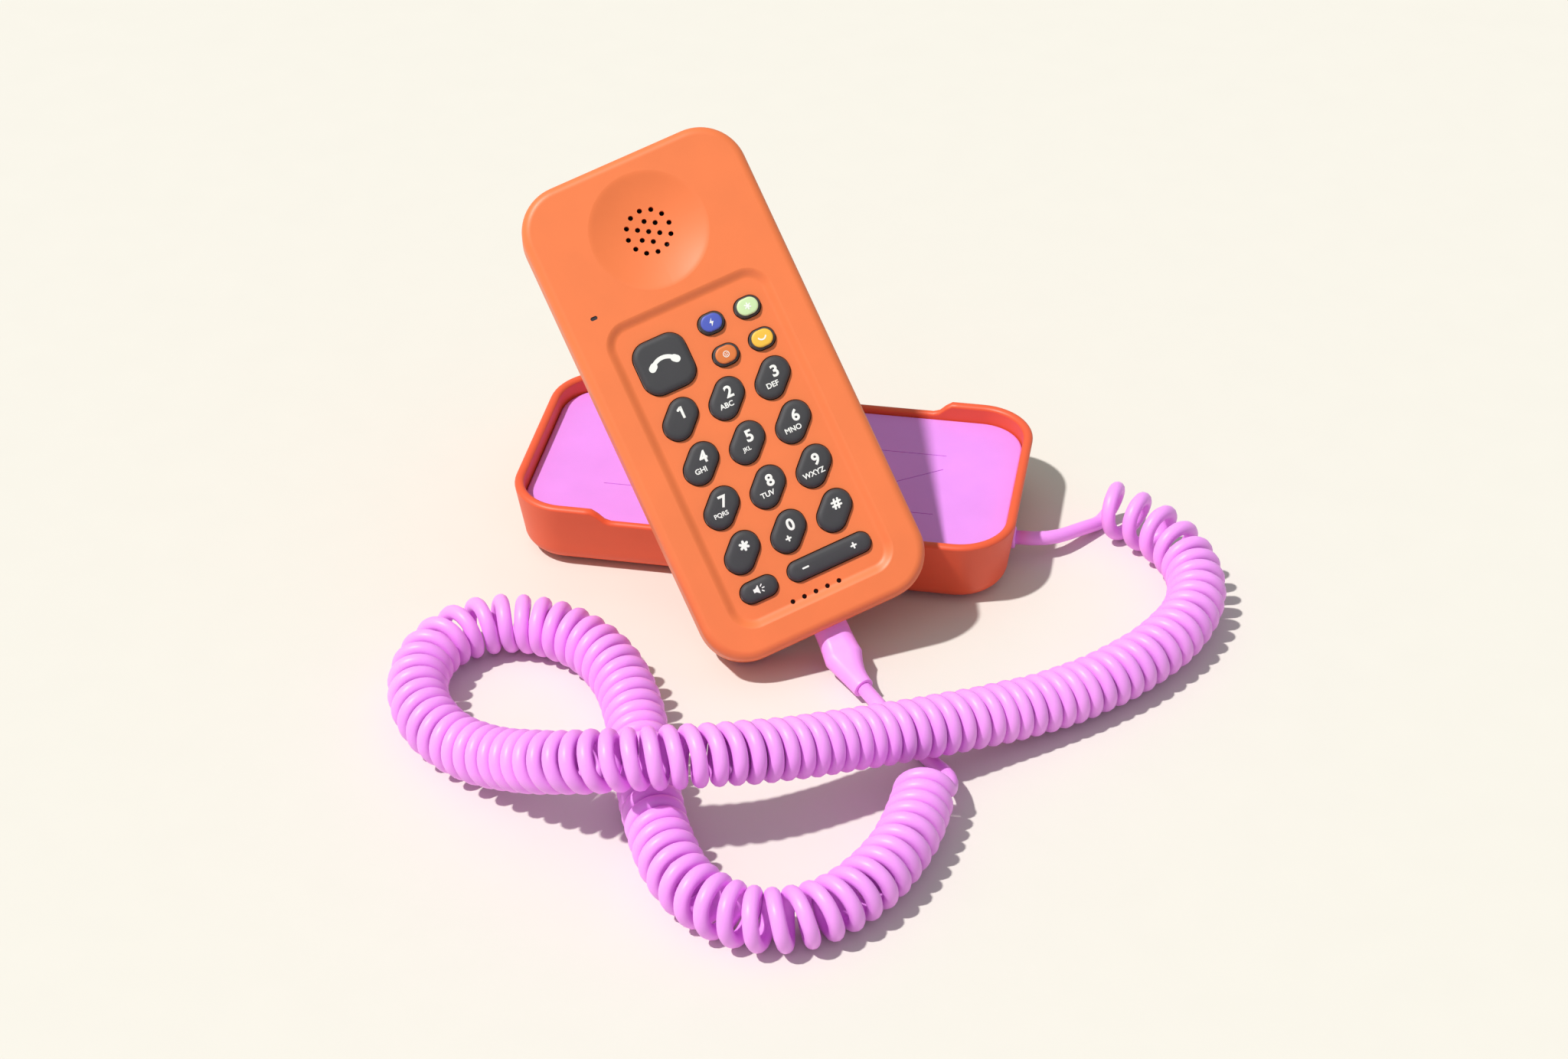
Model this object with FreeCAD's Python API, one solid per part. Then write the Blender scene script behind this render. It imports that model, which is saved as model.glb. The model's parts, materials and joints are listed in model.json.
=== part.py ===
"""Desk phone: slab handset with keypad, propped over its tray cradle, joined by a curly cord.

Units mm, +Z up, the cradle stands on Z = 0 with its centre over the origin, its long side along X.
The handset is drawn lying flat (X across, Y towards the earpiece, Z out of its face, face at Z = 0)
and then put in place by handset_place().
"""
import FreeCAD, Part
import math
import os

V = FreeCAD.Vector
os.makedirs("parts", exist_ok=True)

# ---- cradle ----
tray_length, tray_width, tray_height = 188.0, 95.0, 28.0
tray_corner = 21.0            # plan radius of the tray's corners
tray_draft = 3.5              # how far the walls lean in from rim to base
tray_wall = 2.9
tray_base_round = 7.0         # round between wall and underside
rim_round = 1.2
notch_length, notch_drop, notch_ramp = 110.0, 4.6, 8.0
pad_thickness, pad_gap = 3.0, 0.5
pad_depth = 6.6               # pad face below the rim
web_thickness = 2.5           # floor under the pad
grip_thickness = 1.2          # silicone mat under the base
plate_thickness, plate_inset, plate_gap = 2.0, 15.0, 0.3
cradle_screw_r, cradle_boss_r = 1.5, 4.0
ballast_from, ballast_width, ballast_height = 23.0, 46.0, 8.0
jack_width, jack_height, jack_length = 13.0, 10.0, 15.0

# ---- handset ----
body_width, body_length, body_thickness = 85.0, 182.0, 24.0
body_corner = 17.0
face_round, back_round = 3.0, 7.0
parting_depth = 11.0          # parting line below the face
shell_wall, face_wall = 2.4, 4.2
dish_radius, dish_depth, dish_from_top = 21.0, 3.2, 28.1
hole_r, hole_ring = 0.9, 7.9
panel_width, panel_length, panel_from_top = 62.4, 117.3, 54.3
panel_corner, panel_depth, panel_slope = 8.8, 1.7, 1.4
light_length, light_width, light_x, light_from_top = 2.6, 1.4, -30.8, 48.9
mic_r, mic_pitch, mic_count, mic_from_top = 0.875, 4.47, 5, 168.5
board_depth, board_thickness = 7.6, 1.6
switch_r, switch_height = 2.5, 0.4
handset_screw_r, handset_boss_r = 1.1, 3.5

# ---- keys ----
key_proud, key_gap = 2.1, 0.35
key_round = 0.9
lip, lip_gap, lip_thickness = 0.9, 0.3, 0.8
number_length, number_width = 15.6, 10.4
number_pitch_x, number_pitch_y, number_from_top = 17.9, 17.23, 93.7
big_size, big_corner, big_x, big_from_top = 19.6, 5.9, -14.9, 73.6
small_length, small_width, small_cap_length, small_cap_width = 9.5, 7.3, 7.9, 6.2
small_x, small_pitch_x, small_from_top, small_pitch_y = 6.25, 14.05, 67.15, 12.4
speaker_length, speaker_width, speaker_x, speaker_from_top = 13.7, 7.4, -18.0, 159.6
rocker_length, rocker_width, rocker_x, rocker_from_top = 31.7, 7.2, 9.3, 159.5
rocker_gap, rocker_lip_drop = 0.5, 1.1

# ---- cord ----
wire_d, coil_d = 5.3, 21.5
loop_cut_y, loop_cut_z = -200.0, 24.0   # the coil's front loop lies past and below these
plug_width, plug_thickness, plug_length, plug_depth = 14.0, 9.0, 8.0, 10.0
neck_d, plug_clear = 7.8, 0.3
tongue_width, tongue_thickness, tongue_length, tongue_gap = 8.3, 2.4, 8.0, 0.3
gland_r, gland_length, gland_y, gland_z = 4.2, 5.0, -11.5, 9.0

# ---- where the handset is propped ----
foot_x, foot_z = -3.8, -5.878  # low corner of its back, before that is rounded
lean = -0.914                 # plane of its back past the rim's corner, where the back's own edge is round
face_azimuth, face_tilt, face_spin = 16.56, 41.0, 20.3


# ================================ helpers ================================
def polar(r, degrees, z=0.0):
    a = math.radians(degrees)
    return V(r * math.cos(a), r * math.sin(a), z)


def rounded(lx, ly, r, z=0.0, at=(0.0, 0.0)):
    """Closed wire: a rectangle with round corners, a stadium or a circle, centred on at."""
    r = min(r, lx / 2, ly / 2)
    hx, hy = lx / 2 - r, ly / 2 - r
    centres = [V(at[0] + sx * hx, at[1] + sy * hy, z) for sx, sy in ((1, 1), (-1, 1), (-1, -1), (1, -1))]
    edges = []
    for i, c in enumerate(centres):
        a, b, e = (c + polar(r, 90 * i + k) for k in (0, 45, 90))
        edges.append(Part.Arc(a, b, e).toShape())
        nxt = centres[(i + 1) % 4] + polar(r, 90 * i + 90)
        if e.distanceToPoint(nxt) > 1e-6:
            edges.append(Part.makeLine(e, nxt))
    return Part.Wire(edges)


def prism(wire, height):
    return Part.Face(wire).extrude(V(0, 0, height))


def slab(lx, ly, r, z0, z1, at=(0.0, 0.0)):
    return prism(rounded(lx, ly, r, z0, at), z1 - z0)


def box(lx, ly, z0, z1, at=(0.0, 0.0)):
    return Part.makeBox(lx, ly, z1 - z0, V(at[0] - lx / 2, at[1] - ly / 2, z0))


def rod(r, z0, z1, at=(0.0, 0.0)):
    return Part.makeCylinder(r, z1 - z0, V(at[0], at[1], z0))


def tapered(top, bottom):
    return Part.makeLoft([top, bottom], True, True)


def level_edges(shape, z):
    return [e for e in shape.Edges if all(abs(v.Z - z) < 1e-4 for v in e.Vertexes)]


def softened(shape, z, r):
    """The shape with all its edges at height z rounded."""
    return shape.makeFillet(r, level_edges(shape, z))


def turned(shape, degrees, at=(0.0, 0.0)):
    return shape.copy().rotate(V(at[0], at[1], 0), V(0, 0, 1), degrees)


def fuse(shapes):
    return shapes[0].fuse(shapes[1:]).removeSplitter() if len(shapes) > 1 else shapes[0]


def corners(dx, dy):
    return [(sx * dx, sy * dy) for sx in (-1, 1) for sy in (-1, 1)]


def handset_axes():
    az, tilt, spin = (math.radians(a) for a in (face_azimuth, face_tilt, face_spin))
    out = V(math.sin(az) * math.cos(tilt), -math.cos(az) * math.cos(tilt), math.sin(tilt))
    level = V(math.cos(az), math.sin(az), 0)
    rise = out.cross(level)
    across = level * math.cos(spin) + rise * math.sin(spin)
    return across, out.cross(across), out


def handset_place():
    """The low corner of the back stays where foot_x and foot_z say, and the back leans by the rim."""
    x, y, z = handset_axes()
    rim = V(notch_length / 2 + notch_ramp / 3, -tray_width / 2, tray_height - notch_drop / 2)
    foot_y = rim.y + ((rim.x - foot_x) * z.x + (rim.z - foot_z) * z.z + lean) / z.y
    foot = V(foot_x, foot_y, foot_z)
    at = foot + x * body_width / 2 + y * body_length / 2 + z * body_thickness
    m = FreeCAD.Matrix(x.x, y.x, z.x, at.x, x.y, y.y, z.y, at.y, x.z, y.z, z.z, at.z, 0, 0, 0, 1)
    return FreeCAD.Placement(m)


def placed(shape):
    s = shape.copy()
    s.Placement = handset_place().multiply(s.Placement)
    return s


def from_top(distance):
    return body_length / 2 - distance


nodes = {}


def keep(name, shape, on_handset=False):
    nodes[name] = placed(shape) if on_handset else shape


# ================================ cradle ================================
pad_top = tray_height - pad_depth
shelf = pad_top - pad_thickness
web_under = shelf - web_thickness
plate_top = grip_thickness + plate_thickness
plate_at = (tray_length / 2 - plate_inset - 9.0, tray_width / 2 - plate_inset - 9.0)
pocket = (tray_length - 2 * tray_wall, tray_width - 2 * tray_wall, tray_corner - tray_wall)


def wall_x(z):
    """Outer face of the end wall at height z."""
    return tray_length / 2 - tray_draft * (tray_height - z) / (tray_height - grip_thickness)


def finger_notches():
    """Two dips in the long sides of the rim, with sloped ends."""
    half, run = notch_length / 2, notch_ramp
    low, high = tray_height - notch_drop, tray_height + 5.0
    rise = run * (high - low) / notch_drop
    side = [V(-half, 0, low), V(half, 0, low), V(half + rise, 0, high), V(-half - rise, 0, high)]
    profile = Part.makePolygon(side + side[:1])
    bar = Part.Face(profile).extrude(V(0, tray_width + 20, 0))
    bar.translate(V(0, -tray_width / 2 - 10, 0))
    return bar


def tray():
    top = rounded(tray_length, tray_width, tray_corner, tray_height)
    low = rounded(tray_length - 2 * tray_draft, tray_width - 2 * tray_draft,
                  tray_corner - tray_draft, grip_thickness)
    body = softened(tapered(top, low), grip_thickness, tray_base_round)
    body = body.cut(slab(*pocket, shelf, tray_height + 1))
    body = softened(body, tray_height, rim_round).cut(finger_notches())
    opening = (tray_length - 2 * plate_inset, tray_width - 2 * plate_inset, tray_corner - 6)
    body = body.cut(slab(*opening, 0, web_under))
    for at in corners(*plate_at):
        boss = rod(cradle_boss_r, plate_top, web_under, at)
        body = body.fuse(boss.cut(rod(cradle_screw_r, plate_top, web_under - 2, at)))
    body = body.cut(Part.makeCylinder(gland_r, 40, V(wall_x(gland_z) - 30, gland_y, gland_z), V(1, 0, 0)))
    return body.cut(jack_box(jack_width + 0.4, jack_height + 0.4, jack_face - jack_length - 4, tray_width))


def jack_box(width, height, back, front, lift=0.0):
    """A box centred on the line socket, from back to front along Y, raised by lift."""
    z0 = jack_z + (jack_height - height) / 2 + lift
    return Part.makeBox(width, front - back, height, V(-width / 2, back, z0))


def line_jack():
    shell = jack_box(jack_width, jack_height, jack_face - jack_length, jack_face)
    mouth = jack_box(9.8, 6.6, jack_face - 10.0, jack_face + 1)
    latch = jack_box(4.2, 1.5, jack_face - 10.0, jack_face + 1, 4.0)
    return shell.cut(mouth).cut(latch)


jack_face = tray_width / 2 - tray_draft - 0.3
jack_z = web_under - jack_height - 0.3

keep("cradle_shell", tray())
pad_size = (pocket[0] - 2 * pad_gap, pocket[1] - 2 * pad_gap, pocket[2] - pad_gap)
keep("cradle_pad", softened(slab(*pad_size, shelf, pad_top), pad_top, 0.8))

plate_size = (tray_length - 2 * (plate_inset + plate_gap), tray_width - 2 * (plate_inset + plate_gap),
              tray_corner - 6 - plate_gap)
plate = slab(*plate_size, grip_thickness, plate_top)
for at in corners(*plate_at):
    plate = plate.cut(rod(cradle_screw_r + 0.1, 0, 9, at)).cut(rod(3.0, 0, grip_thickness + 1.2, at))
keep("base_plate", plate)
keep("base_grip", slab(plate_size[0] + 6, plate_size[1] + 6, plate_size[2] + 3, 0, grip_thickness))
keep("base_screws", Part.makeCompound([
    rod(2.8, grip_thickness + 0.1, grip_thickness + 1.2, at).fuse(
        rod(cradle_screw_r, grip_thickness + 1.2, plate_top + 6, at)) for at in corners(*plate_at)]))
ballast_length = plate_at[0] - cradle_boss_r - 5.0 - ballast_from
ballast_x = ballast_from + ballast_length / 2
keep("ballast", Part.makeCompound([
    slab(ballast_length, ballast_width, 4, plate_top, plate_top + ballast_height, (sx * ballast_x, 0))
    for sx in (-1, 1)]))
board_z = plate_top + 1.5
board_parts = [box(36, 34, board_z, board_z + 1.6, (0, -8.0)),
               box(12, 12, board_z + 1.6, board_z + 3.0, (-8.0, -10.0)),
               box(8, 6, board_z + 1.6, board_z + 4.0, (10.0, -4.0))]
board_parts += [rod(2.0, plate_top, board_z, (x, y)) for x in (-15, 15) for y in (-22, 6)]
keep("cradle_board", fuse(board_parts))
keep("ringer", fuse([rod(11.0, web_under - 1.2, web_under, (0, -14.0)),
                     rod(8.0, web_under - 4.0, web_under - 1.2, (0, -14.0))]))
keep("hook_magnets", Part.makeCompound([
    rod(6.0, web_under - 2.0, web_under, (sx * 42.0, 0)) for sx in (-1, 1)]))
keep("line_jack", line_jack())

gland_face = wall_x(gland_z) + 1.0
gland_back = V(gland_face - gland_length, gland_y, gland_z)
keep("cord_gland", Part.makeCylinder(gland_r, gland_length, gland_back, V(1, 0, 0)))


# ================================ handset ================================
def handset_block():
    block = slab(body_width, body_length, body_corner, -body_thickness, 0)
    return softened(softened(block, 0, face_round), -body_thickness, back_round)


def inside(z0, z1):
    return slab(body_width - 2 * shell_wall, body_length - 2 * shell_wall, body_corner - shell_wall, z0, z1)


dish_y = from_top(dish_from_top)
panel_y = from_top(panel_from_top + panel_length / 2)
mic_y = from_top(mic_from_top)
floor_z = -panel_depth
boss_xy = (body_width / 2 - 9.0, body_length / 2 - 12.0)
dish_under = -(face_wall + 2.5)


def ear_holes():
    spots = [(0.0, 0.0)]
    spots += [(hole_ring / 2, 60 * k + 30) for k in range(6)]
    spots += [(hole_ring, 30 * k) for k in range(12)]
    return [(polar(r, a).x, dish_y + polar(r, a).y) for r, a in spots]


def panel_recess():
    top = rounded(panel_width, panel_length, panel_corner, 0.0, (0, panel_y))
    low = rounded(panel_width - 2 * panel_slope, panel_length - 2 * panel_slope, panel_corner - panel_slope,
                  floor_z, (0, panel_y))
    return tapered(top, low)


def socket_hole(gap=tongue_gap):
    w, h = tongue_width + 2 * gap, tongue_thickness + 2 * gap
    return Part.makeBox(w, shell_wall + 12, h, V(-w / 2, -body_length / 2 - 2, -plug_depth - h / 2))


def key_list():
    """name: (length, width, corner, turn, centre, gap)"""
    keys = {}
    names = ("1", "2", "3", "4", "5", "6", "7", "8", "9", "star", "0", "hash")
    for i, name in enumerate(names):
        col, row = i % 3, i // 3
        at = ((col - 1) * number_pitch_x, from_top(number_from_top + row * number_pitch_y))
        keys["key_" + name] = (number_length, number_width, number_width / 2, 45, at, key_gap)
    keys["key_big"] = (big_size, big_size, big_corner, 0, (big_x, from_top(big_from_top)), key_gap)
    for i, name in enumerate(("blue", "green", "orange", "yellow")):
        at = (small_x + (i % 2) * small_pitch_x, from_top(small_from_top + (i // 2) * small_pitch_y))
        keys["key_" + name] = (small_length, small_width, small_width / 2, 0, at, key_gap)
    keys["key_speaker"] = (speaker_length, speaker_width, speaker_width / 2, 0,
                           (speaker_x, from_top(speaker_from_top)), key_gap)
    keys["rocker"] = (rocker_length, rocker_width, rocker_width / 2, 0,
                      (rocker_x, from_top(rocker_from_top)), rocker_gap)
    return keys


def key_prism(spec, z0, z1, grow=0.0):
    length, width, corner, turn, at, _ = spec
    return turned(slab(length + 2 * grow, width + 2 * grow, corner + grow, z0, z1, at), turn, at)


keys = key_list()


def front_shell(block):
    shell = block.common(box(200, 300, -parting_depth, 1))
    shell = shell.cut(inside(-parting_depth, -face_wall))
    solid = [rod(dish_radius + 2, dish_under, -face_wall, (0, dish_y))]
    solid += [rod(handset_boss_r, -parting_depth, -face_wall, at) for at in corners(*boss_xy)]
    solid += [rod(1.8, -board_depth, -face_wall, (x, y)) for x in (-27.4, 27.4)
              for y in (from_top(85.0), from_top(155.0))]
    shell = shell.fuse(solid)
    ball = dish_radius ** 2 / (2 * dish_depth) + dish_depth / 2
    cuts = [Part.makeSphere(ball, V(0, dish_y, ball - dish_depth)), panel_recess(), socket_hole()]
    cuts += [rod(hole_r, -20, 1, at) for at in ear_holes()]
    cuts += [rod(mic_r, -20, 1, ((k - (mic_count - 1) / 2) * mic_pitch, mic_y)) for k in range(mic_count)]
    cuts += [rod(handset_screw_r, -parting_depth - 1, -face_wall - 1, at) for at in corners(*boss_xy)]
    cuts.append(slab(light_length, light_width, light_width / 2, -20, 1, (light_x, from_top(light_from_top))))
    cuts += [key_prism(spec, -20, 1, spec[5]) for spec in keys.values()]
    return shell.cut(cuts)


def back_shell(block):
    shell = block.common(box(200, 300, -body_thickness - 1, -parting_depth)).cut(socket_hole())
    hollow = softened(inside(-body_thickness + shell_wall, -parting_depth), -body_thickness + shell_wall,
                      back_round - shell_wall)
    shell = shell.cut(hollow)
    for at in corners(*boss_xy):
        boss = rod(handset_boss_r, -body_thickness + shell_wall - 0.5, -parting_depth, at)
        shell = shell.fuse(boss)
        shell = shell.cut(rod(handset_screw_r + 0.1, -40, 0, at)).cut(
            rod(2.6, -40, -body_thickness + 3.0, at))
    return shell


block = handset_block()
keep("handset_front", front_shell(block), True)
keep("handset_back", back_shell(block), True)
keep("handset_screws", Part.makeCompound([
    rod(2.4, -body_thickness + 1.4, -body_thickness + 3.0, at).fuse(
        rod(handset_screw_r - 0.05, -body_thickness + 3.0, -face_wall - 1.6, at))
    for at in corners(*boss_xy)]), True)

gasket = rod(16.0, dish_under - 1.0, dish_under, (0, dish_y)).cut(rod(12.0, -20, 0, (0, dish_y)))
keep("ear_gasket", gasket, True)
keep("ear_speaker", fuse([rod(15.5, dish_under - 3.5, dish_under - 1.0, (0, dish_y)),
                          rod(10.0, dish_under - 8.0, dish_under - 3.5, (0, dish_y))]), True)
keep("microphone", softened(slab(24, 5.4, 1.0, -face_wall - 3, -face_wall, (0, mic_y - 1.0)),
                            -face_wall - 3, 0.5), True)
keep("light_pipe", slab(light_length - 0.1, light_width - 0.1, 0.65, -face_wall - 2.6, -0.4,
                        (light_x, from_top(light_from_top))), True)

board_top = -board_depth
board_y = panel_y + 0.8
board_size = (panel_width - 3.4, panel_length - 8.0, 4.0)
keep("key_board", slab(*board_size, board_top - board_thickness, board_top, (0, board_y)), True)


def switch_spots():
    spots = [spec[4] for name, spec in keys.items() if name != "rocker"]
    x, y = keys["rocker"][4]
    return spots + [(x - 11.0, y), (x + 11.0, y)]


keep("key_switches", Part.makeCompound([
    rod(switch_r, board_top, board_top + switch_height, at) for at in switch_spots()]), True)
keep("handset_weight", slab(44, 90, 5, -body_thickness + shell_wall, -body_thickness + shell_wall + 3,
                            (0, -5.0)), True)
keep("hold_magnets", Part.makeCompound([
    rod(6.0, -body_thickness + shell_wall, -body_thickness + shell_wall + 2, (0, y)) for y in (-66.0, 60.0)]),
    True)

socket_w, socket_h = tongue_width + 2.2, tongue_thickness + 2.2
socket = Part.makeBox(socket_w, 8.0, socket_h,
                      V(-socket_w / 2, -body_length / 2 + shell_wall, -plug_depth - socket_h / 2))
keep("plug_socket", socket.cut(socket_hole(tongue_gap).common(
    Part.makeBox(40, 9.0, 20, V(-20, -body_length / 2, -plug_depth - 10)))), True)


# ================================ keys ================================
key_top = floor_z + key_proud
lip_top = -face_wall - lip_gap
lip_under = lip_top - lip_thickness


def plain_key(spec, top=None):
    top = key_top if top is None else top
    cap = softened(key_prism(spec, lip_under, top), top, key_round)
    nub = rod(1.5, lip_under - 0.6, lip_under, spec[4])
    return fuse([cap, key_prism(spec, lip_under, lip_top, lip), nub])


def rocker_key(spec):
    cap = softened(key_prism(spec, lip_under - rocker_lip_drop + lip_gap, key_top), key_top, key_round)
    length, width, _, _, at, _ = spec
    low = lip_under - rocker_lip_drop + lip_gap
    end_lips = slab(length + 1.2, width - 2.0, width / 2 - 1, low, low + lip_thickness, at)
    return fuse([cap, end_lips])


for name, spec in keys.items():
    if name == "rocker":
        keep(name, rocker_key(spec), True)
    elif name[4:] in ("blue", "green", "orange", "yellow"):
        well = slab(small_cap_length, small_cap_width, small_cap_width / 2, floor_z, 5, spec[4])
        keep(name + "_skirt", plain_key(spec, key_top - 0.5).cut(well), True)
        cap = slab(small_cap_length - 0.1, small_cap_width - 0.1, small_cap_width / 2, floor_z, key_top + 0.3,
                   spec[4])
        keep(name, softened(cap, key_top + 0.3, 0.8), True)
    else:
        keep(name, plain_key(spec), True)


# ================================ cord ================================
# Curly stretch, centre of the coil from the cradle's end to the handset's end, resting on the floor
# except where it climbs over its own first loop.
coil_route = [
    (121.0, 11.6, 11.0), (133.5, 7.0, 10.8), (146.5, -3.5, 10.8), (156.5, -17.5, 10.8), (161.5, -34.0, 10.8),
    (159.5, -52.0, 10.8), (151.0, -70.0, 10.8), (136.5, -88.5, 10.8), (117.5, -106.0, 11.4),
    (98.0, -120.5, 14.2), (78.0, -135.5, 18.6), (56.0, -151.0, 23.4), (33.5, -168.0, 29.6),
    (11.0, -181.5, 35.6), (-12.0, -188.5, 36.6), (-34.0, -187.0, 30.6), (-54.0, -178.0, 20.6),
    (-71.0, -168.5, 13.2), (-86.5, -158.5, 10.8), (-98.0, -145.5, 10.8), (-103.5, -130.5, 10.8),
    (-103.0, -115.5, 10.8), (-96.5, -102.5, 10.8), (-83.5, -94.5, 10.8), (-66.0, -93.8, 10.8),
    (-48.5, -101.2, 10.8), (-35.0, -115.0, 10.8), (-25.5, -132.5, 10.8), (-17.5, -155.0, 10.8),
    (-10.0, -177.0, 10.8), (-1.5, -198.0, 10.8), (9.0, -215.5, 10.8), (23.5, -226.0, 10.8),
    (40.5, -229.0, 10.8), (56.5, -221.5, 10.8), (68.5, -206.5, 10.8), (76.0, -188.5, 10.8),
    (79.0, -171.0, 10.8), (79.5, -158.5, 10.8)]
base_lead_route = [(gland_face, gland_y, gland_z), (99.5, gland_y, gland_z), (107.8, -6.6, 7.5),
                   (114.2, 1.4, 5.6), (122.0, 9.5, 4.2)]
handset_lead_route = [(86.4, -160.5, 10.5), (87.3, -151.5, 9.0), (84.6, -143.0, 5.2), (77.6, -134.8, 3.0),
                      (68.0, -123.5, 2.9), (58.6, -112.9, 4.2), (51.3, -105.1, 5.9)]


def tangent_path(points):
    """Straight runs joined by arcs, each as large as its two runs allow. Returns edges and radii."""
    p = [V(*q) for q in points]
    edges, radii, start = [], [], p[0]
    for a, b, c in zip(p, p[1:], p[2:]):
        into, out = (b - a), (c - b)
        turn = into.getAngle(out)
        reach = 0.45 * min(into.Length, out.Length)
        into.normalize()
        out.normalize()
        t0, t1 = b - into * reach, b + out * reach
        r = reach / math.tan(turn / 2)
        bulge = (t0 + t1) * 0.5 - b
        bulge.normalize()
        middle = b + bulge * (r / math.cos(turn / 2) - r)
        edges += [Part.makeLine(start, t0), Part.Arc(t0, middle, t1).toShape()]
        radii.append(r)
        start = t1
    edges.append(Part.makeLine(start, p[-1]))
    return edges, radii


def tube(name, points, diameter):
    edges, radii = tangent_path(points)
    path = Part.Wire(edges)
    heading = V(*points[1]) - V(*points[0])
    ring = Part.Wire([Part.Circle(V(*points[0]), heading, diameter / 2).toShape()])
    solid = Part.Solid(path.makePipeShell([ring], True, False).Shells[0])
    expected = math.pi * diameter ** 2 / 4 * path.Length
    print("%s: length %.1f, smallest radius %.1f, volume/expected %.4f, valid %s"
          % (name, path.Length, min(radii), solid.Volume / expected, solid.isValid()))
    print("   radii", " ".join("%.0f" % r for r in radii))
    keep(name, solid)


tube("cord_lead_base", base_lead_route, wire_d)
tube("cord_coil", coil_route, coil_d)
coil, front = nodes["cord_coil"], box(300, 100, -1, loop_cut_z, (0, loop_cut_y - 50))
keep("cord_coil", coil.cut(front))
keep("cord_front_loop", coil.common(front))      # it bears on the table, so it is a node of its own
tube("cord_lead_handset", handset_lead_route, wire_d)


def ring_section(centre, heading, wide, width, height):
    """Ellipse across heading, its long axis towards wide."""
    heading = heading.normalize()
    major = wide - heading * wide.dot(heading)
    major = major.normalize()
    minor = heading.cross(major)
    half_height = min(height, width - 0.01) / 2      # a round ring is drawn as a very slight ellipse
    ring = Part.Ellipse(centre + major * width / 2, centre + minor * half_height, centre)
    return Part.Wire([ring.toShape()])


def handset_plug():
    """Moulded plug: flat grip on the handset's axis, then a neck that bends down flat to the floor."""
    across, up, out = handset_axes()
    end_wall = -body_length / 2
    grip = slab(plug_width, plug_thickness, plug_thickness / 2, 0, plug_length)
    tongue = box(tongue_width, tongue_thickness, -tongue_length, 0)
    grip = fuse([grip, tongue])
    grip.rotate(V(0, 0, 0), V(1, 0, 0), 90)
    grip.translate(V(0, end_wall, -plug_depth))
    grip = placed(grip)
    begin = handset_place().multVec(V(0, end_wall - plug_length, -plug_depth))
    finish = V(*handset_lead_route[-1])
    leave = V(*handset_lead_route[-2]) - finish
    leave.normalize()
    finish = finish - leave * plug_clear
    bend, flat = begin - up * 7.0, finish - leave * 8.0
    waist = ((0, plug_width - 0.6, plug_thickness - 0.4), (0.3, plug_width - 1.6, plug_thickness - 0.6),
             (0.6, neck_d + 1.8, neck_d + 0.2), (0.8, neck_d + 0.3, neck_d), (1, neck_d, neck_d))
    sections = []
    for t, width, height in waist:
        s = 1 - t
        centre = begin * s ** 3 + bend * (3 * t * s ** 2) + flat * (3 * s * t ** 2) + finish * t ** 3
        heading = (bend - begin) * s ** 2 + (flat - bend) * (2 * s * t) + (finish - flat) * t ** 2
        sections.append(ring_section(centre, heading, across, width, height))
    neck = Part.makeLoft(sections, True, False)
    return grip.fuse(neck)


keep("handset_plug", handset_plug())

# ================================ export ================================
for name, shape in nodes.items():
    shape.exportStep("parts/%s.step" % name)
    b = shape.BoundBox
    ok = "ok" if shape.isValid() else "NOT VALID"
    print("%-18s %-9s solids %2d  vol %9.1f  z %.2f..%.2f"
          % (name, ok, len(shape.Solids), shape.Volume, b.ZMin, b.ZMax))
print(len(nodes), "nodes")
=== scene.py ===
"""Looks of a desk phone: a slab handset with rubber keys, a tray cradle with a soft pad, a curly cord.

The file follows the phone as it is put together. Lengths are in metres. The cradle stands on z = 0
with its long side along X, and the keypad side, where the cord lies, is towards -Y.
"""
import json
import math

import bmesh
import bpy
from mathutils import Matrix, Vector
from mathutils.geometry import interpolate_bezier
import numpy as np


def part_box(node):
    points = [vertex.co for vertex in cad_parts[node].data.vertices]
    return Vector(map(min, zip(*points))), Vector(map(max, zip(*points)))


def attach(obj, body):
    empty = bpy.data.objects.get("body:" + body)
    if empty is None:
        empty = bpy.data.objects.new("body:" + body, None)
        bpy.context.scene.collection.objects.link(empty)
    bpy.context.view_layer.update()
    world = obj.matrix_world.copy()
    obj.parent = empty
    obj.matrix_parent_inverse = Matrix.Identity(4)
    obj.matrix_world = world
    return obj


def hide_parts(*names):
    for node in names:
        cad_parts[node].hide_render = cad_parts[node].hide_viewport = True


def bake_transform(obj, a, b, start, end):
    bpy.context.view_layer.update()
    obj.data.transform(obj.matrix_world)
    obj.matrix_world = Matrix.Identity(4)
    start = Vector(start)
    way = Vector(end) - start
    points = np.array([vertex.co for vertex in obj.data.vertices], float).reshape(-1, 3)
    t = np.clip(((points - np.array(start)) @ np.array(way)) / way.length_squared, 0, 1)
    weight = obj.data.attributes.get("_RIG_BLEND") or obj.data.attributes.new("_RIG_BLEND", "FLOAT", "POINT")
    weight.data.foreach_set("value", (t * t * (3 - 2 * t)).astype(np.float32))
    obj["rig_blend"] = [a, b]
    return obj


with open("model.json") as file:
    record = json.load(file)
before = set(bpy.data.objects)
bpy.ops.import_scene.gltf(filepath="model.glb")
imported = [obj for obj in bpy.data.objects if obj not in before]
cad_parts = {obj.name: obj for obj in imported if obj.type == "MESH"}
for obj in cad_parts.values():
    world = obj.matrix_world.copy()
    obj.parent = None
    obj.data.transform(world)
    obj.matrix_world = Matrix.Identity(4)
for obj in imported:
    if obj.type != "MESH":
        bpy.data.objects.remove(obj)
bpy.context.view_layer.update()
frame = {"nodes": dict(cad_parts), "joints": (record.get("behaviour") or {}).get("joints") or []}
scene = bpy.context.scene

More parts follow.
